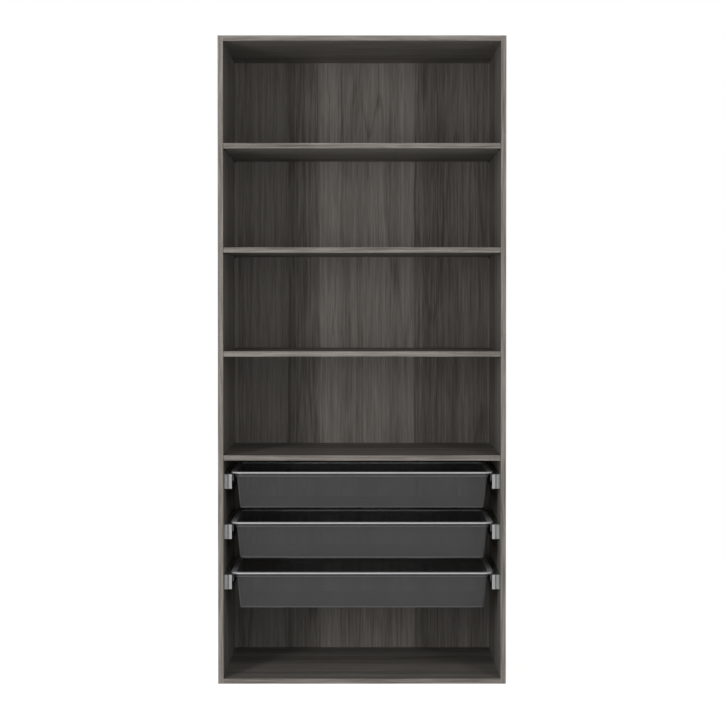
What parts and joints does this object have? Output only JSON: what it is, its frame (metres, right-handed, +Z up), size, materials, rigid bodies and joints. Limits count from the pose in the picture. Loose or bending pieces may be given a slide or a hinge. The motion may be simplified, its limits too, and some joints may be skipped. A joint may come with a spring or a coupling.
{
  "type": "wardrobe frame",
  "caption": "Open wardrobe frame of wood-finish boards with shelves on pins above pull-out wire-mesh baskets, each on a pair of full-extension ball-bearing runners.",
  "frame": {"origin": "middle of the footprint on the floor", "axes": "+Z up, -Y towards the open front, +X to the right seen from the front"},
  "size_m": [1, 0.58, 2.25],
  "materials": {
    "oak_board": "grey-brown oak print, matt",
    "oak_back": "grey-brown oak print, matt",
    "oak_edging": "grey-brown oak edging, matt",
    "dowel_wood": "plain beech",
    "bright_steel": "bright zinc",
    "zinc_steel": "zinc plated, satin",
    "cam_metal": "cast, satin",
    "cap_metal": "smooth, bright",
    "basket_paint": "anthracite, satin",
    "basket_mesh": "anthracite, satin"
  },
  "bodies": {
    "frame": {"left_side_panel": "oak_board", "right_side_panel": "oak_board", "top_panel": "oak_board", "bottom_panel": "oak_board", "back_panel": "oak_back", "shelf_1": "oak_board", "shelf_2": "oak_board", "shelf_3": "oak_board", "shelf_4": "oak_board", "shelf_pins": "bright_steel", "front_edge_strips": "oak_edging", "cam_bolts": "bright_steel", "cam_locks": "cam_metal", "corner_dowels": "dowel_wood", "runner_screws": "bright_steel", "upper_left_outer_rail": "zinc_steel", "upper_right_outer_rail": "zinc_steel", "middle_left_outer_rail": "zinc_steel", "middle_right_outer_rail": "zinc_steel", "lower_left_outer_rail": "zinc_steel", "lower_right_outer_rail": "zinc_steel"},
    "upper_basket": {"upper_left_inner_rail": "zinc_steel", "upper_left_carrier": "zinc_steel", "upper_right_inner_rail": "zinc_steel", "upper_right_carrier": "zinc_steel", "upper_carrier_rivets": "bright_steel", "upper_runner_caps": "cap_metal", "upper_basket_clips": "zinc_steel", "upper_basket_rim": "basket_paint", "upper_basket_tub": "basket_mesh"},
    "upper_middle_rails": {"upper_left_middle_rail": "zinc_steel", "upper_right_middle_rail": "zinc_steel"},
    "upper_outer_cages": {"upper_outer_ball_cages": "bright_steel"},
    "upper_inner_cages": {"upper_inner_ball_cages": "bright_steel"},
    "middle_basket": {"middle_left_inner_rail": "zinc_steel", "middle_left_carrier": "zinc_steel", "middle_right_inner_rail": "zinc_steel", "middle_right_carrier": "zinc_steel", "middle_carrier_rivets": "bright_steel", "middle_runner_caps": "cap_metal", "middle_basket_clips": "zinc_steel", "middle_basket_rim": "basket_paint", "middle_basket_tub": "basket_mesh"},
    "middle_middle_rails": {"middle_left_middle_rail": "zinc_steel", "middle_right_middle_rail": "zinc_steel"},
    "middle_outer_cages": {"middle_outer_ball_cages": "bright_steel"},
    "middle_inner_cages": {"middle_inner_ball_cages": "bright_steel"},
    "lower_basket": {"lower_left_inner_rail": "zinc_steel", "lower_left_carrier": "zinc_steel", "lower_right_inner_rail": "zinc_steel", "lower_right_carrier": "zinc_steel", "lower_carrier_rivets": "bright_steel", "lower_runner_caps": "cap_metal", "lower_basket_clips": "zinc_steel", "lower_basket_rim": "basket_paint", "lower_basket_tub": "basket_mesh"},
    "lower_middle_rails": {"lower_left_middle_rail": "zinc_steel", "lower_right_middle_rail": "zinc_steel"},
    "lower_outer_cages": {"lower_outer_ball_cages": "bright_steel"},
    "lower_inner_cages": {"lower_inner_ball_cages": "bright_steel"}
  },
  "joints": [
    {"name": "upper_basket_slide", "type": "slide", "parent": "frame", "child": "upper_basket", "axis": [0, -1, 0], "range_m": [0, 0.38]},
    {"name": "upper_middle_rails_slide", "type": "slide", "parent": "frame", "child": "upper_middle_rails", "axis": [0, -1, 0], "range_m": [0, 0.19]},
    {"name": "upper_outer_cages_slide", "type": "slide", "parent": "frame", "child": "upper_outer_cages", "axis": [0, -1, 0], "range_m": [0, 0.095]},
    {"name": "upper_inner_cages_slide", "type": "slide", "parent": "frame", "child": "upper_inner_cages", "axis": [0, -1, 0], "range_m": [0, 0.285]},
    {"name": "middle_basket_slide", "type": "slide", "parent": "frame", "child": "middle_basket", "axis": [0, -1, 0], "range_m": [0, 0.38]},
    {"name": "middle_middle_rails_slide", "type": "slide", "parent": "frame", "child": "middle_middle_rails", "axis": [0, -1, 0], "range_m": [0, 0.19]},
    {"name": "middle_outer_cages_slide", "type": "slide", "parent": "frame", "child": "middle_outer_cages", "axis": [0, -1, 0], "range_m": [0, 0.095]},
    {"name": "middle_inner_cages_slide", "type": "slide", "parent": "frame", "child": "middle_inner_cages", "axis": [0, -1, 0], "range_m": [0, 0.285]},
    {"name": "lower_basket_slide", "type": "slide", "parent": "frame", "child": "lower_basket", "axis": [0, -1, 0], "range_m": [0, 0.38]},
    {"name": "lower_middle_rails_slide", "type": "slide", "parent": "frame", "child": "lower_middle_rails", "axis": [0, -1, 0], "range_m": [0, 0.19]},
    {"name": "lower_outer_cages_slide", "type": "slide", "parent": "frame", "child": "lower_outer_cages", "axis": [0, -1, 0], "range_m": [0, 0.095]},
    {"name": "lower_inner_cages_slide", "type": "slide", "parent": "frame", "child": "lower_inner_cages", "axis": [0, -1, 0], "range_m": [0, 0.285]}
  ],
  "couplings": [
    {"joint": "upper_middle_rails_slide", "follows": "upper_basket_slide", "ratio": 0.5},
    {"joint": "upper_outer_cages_slide", "follows": "upper_basket_slide", "ratio": 0.25},
    {"joint": "upper_inner_cages_slide", "follows": "upper_basket_slide", "ratio": 0.75},
    {"joint": "middle_middle_rails_slide", "follows": "middle_basket_slide", "ratio": 0.5},
    {"joint": "middle_outer_cages_slide", "follows": "middle_basket_slide", "ratio": 0.25},
    {"joint": "middle_inner_cages_slide", "follows": "middle_basket_slide", "ratio": 0.75},
    {"joint": "lower_middle_rails_slide", "follows": "lower_basket_slide", "ratio": 0.5},
    {"joint": "lower_outer_cages_slide", "follows": "lower_basket_slide", "ratio": 0.25},
    {"joint": "lower_inner_cages_slide", "follows": "lower_basket_slide", "ratio": 0.75}
  ]
}
